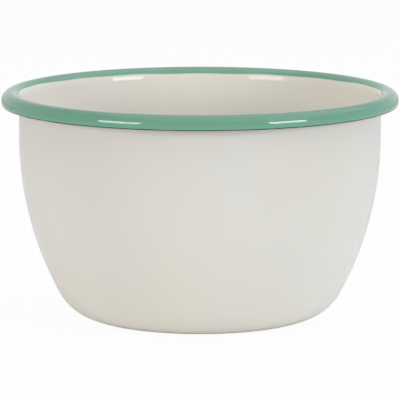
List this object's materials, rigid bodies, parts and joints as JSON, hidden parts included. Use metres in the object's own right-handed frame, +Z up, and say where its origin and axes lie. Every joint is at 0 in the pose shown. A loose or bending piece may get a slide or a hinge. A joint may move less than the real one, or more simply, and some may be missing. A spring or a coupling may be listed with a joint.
{
  "type": "mixing bowl",
  "caption": "Deep round enamelled-steel mixing bowl, cream inside and out, with steep curved sides, a rounded foot, a pushed-up base and a green rolled rim.",
  "frame": {"origin": "on the table plane, in the middle of the ring that the bowl stands on", "axes": "+Z up along the bowl's axis of revolution; X and Y lie on the table, and the bowl is the same all round"},
  "size_m": [0.2, 0.2, 0.115],
  "materials": {
    "sheet_steel": "bare pressed sheet, covered all over by the enamel",
    "cream_enamel_inside": "gloss vitreous enamel, warm cream",
    "cream_enamel_outside": "gloss vitreous enamel, warm cream",
    "green_enamel": "gloss vitreous enamel, mint green",
    "ground_enamel": "dark ground enamel, seen as a thin line round the rim's edge and in the open hollow below the rim"
  },
  "bodies": {
    "root": {"steel_pressing": "sheet_steel", "cream_inside_coat": "cream_enamel_inside", "cream_outside_coat": "cream_enamel_outside", "green_rim_coat": "green_enamel", "dark_ground_coat": "ground_enamel"}
  },
  "joints": []
}
